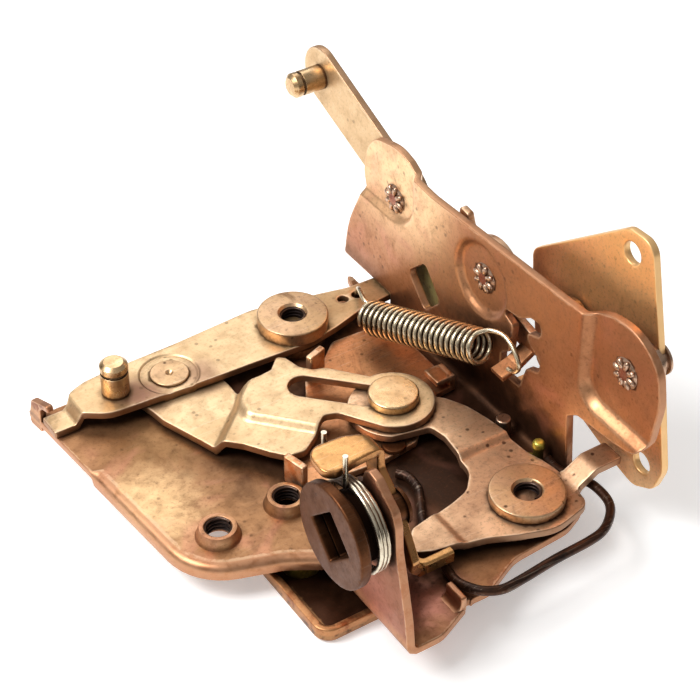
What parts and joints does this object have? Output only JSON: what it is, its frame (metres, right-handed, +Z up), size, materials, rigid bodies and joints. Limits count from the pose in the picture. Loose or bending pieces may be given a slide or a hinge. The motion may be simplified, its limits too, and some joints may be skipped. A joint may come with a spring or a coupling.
{
  "type": "car door lock",
  "caption": "Car door lock on a folded plate frame, with a square key socket, sprung cranked levers, a slotted link, a pawl and a star wheel behind the end plate.",
  "frame": {"origin": "axis of the crank's threaded bush at the upper face of the base plate", "axes": "+Z up out of the base plate, +X from the free edge towards the end plate, +Y along the end plate towards the upper arm's pin"},
  "size_m": [0.0906, 0.1165, 0.0624],
  "materials": {
    "frame_steel": "zinc chromate plated sheet steel, copper brown with oily brown stains",
    "pale_steel": "pale champagne plated sheet steel with brown specks",
    "lever_steel": "pinkish tan plated sheet steel",
    "turned_steel": "turned steel, plated, worn",
    "bush_steel": "turned steel, brown, rust in the thread",
    "dark_cam": "dark brown sintered steel, dull",
    "gold_plate": "yellow plated steel, satin",
    "spring_wire": "bright spring wire, slightly yellowed",
    "black_wire": "blackened spring wire, worn brown on top",
    "copper_steel": "copper brown plated sheet steel",
    "tray_steel": "ochre plated sheet steel",
    "outer_steel": "brown plated sheet steel with yellow edges",
    "rivet_steel": "staked rivet steel with a reddish centre"
  },
  "bodies": {
    "frame": {"frame_sheet": "frame_steel", "strap": "pale_steel", "strap_pin": "turned_steel", "bush_a": "bush_steel", "bush_b": "bush_steel", "link_pivot": "turned_steel", "spring_stud": "gold_plate", "stop_stud": "turned_steel", "lock_pivot": "black_wire", "under_tray": "tray_steel", "tray_posts": "gold_plate", "outer_plate": "outer_steel", "tie_shaft": "rivet_steel", "pawl_shaft": "rivet_steel", "upper_arm_shaft": "rivet_steel", "long_spring": "spring_wire", "wire_spring": "black_wire"},
    "link": {"link_lever": "pale_steel"},
    "crank": {"crank": "lever_steel", "crank_rivet": "turned_steel"},
    "key": {"key_cam": "dark_cam", "key_lever": "gold_plate", "torsion_spring": "spring_wire"},
    "lock": {"lock_lever": "copper_steel"},
    "pawl": {"pawl": "copper_steel"},
    "star": {"rotor": "rivet_steel", "rotor_shaft": "rivet_steel", "ratchet_wheel": "rivet_steel"},
    "handle": {"upper_arm": "pale_steel", "upper_arm_pin": "turned_steel"}
  },
  "joints": [
    {"name": "crank_turn", "type": "hinge", "parent": "frame", "child": "crank", "pos_m": [0, 0, 0.0023], "axis": [0, 0, 1], "range_deg": [0, 8]},
    {"name": "link_turn", "type": "hinge", "parent": "frame", "child": "link", "pos_m": [-0.0378, 0.065, 0.0014], "axis": [0, 0, 1], "range_deg": [-5.3, 0]},
    {"name": "key_turn", "type": "hinge", "parent": "frame", "child": "key", "pos_m": [-0.037, -0.0043, 0.0211], "axis": [1, 0, 0], "range_deg": [-9.8, 0]},
    {"name": "lock_turn", "type": "hinge", "parent": "frame", "child": "lock", "pos_m": [-0.0115, 0.026, 0.0009], "axis": [0, 0, 1], "range_deg": [-4, 0]},
    {"name": "pawl_turn", "type": "hinge", "parent": "frame", "child": "pawl", "pos_m": [0.016, 0.0327, 0.0269], "axis": [1, 0, 0], "range_deg": [0, 6]},
    {"name": "star_turn", "type": "hinge", "parent": "frame", "child": "star", "pos_m": [0.0205, 0.0135, 0.027], "axis": [1, 0, 0], "continuous": true},
    {"name": "handle_turn", "type": "hinge", "parent": "frame", "child": "handle", "pos_m": [0.0162, 0.0632, 0.0269], "axis": [1, 0, 0], "range_deg": [0, 12]}
  ],
  "couplings": [
    {"joint": "link_turn", "follows": "crank_turn", "ratio": -0.645},
    {"joint": "key_turn", "follows": "crank_turn", "ratio": -1.2}
  ]
}
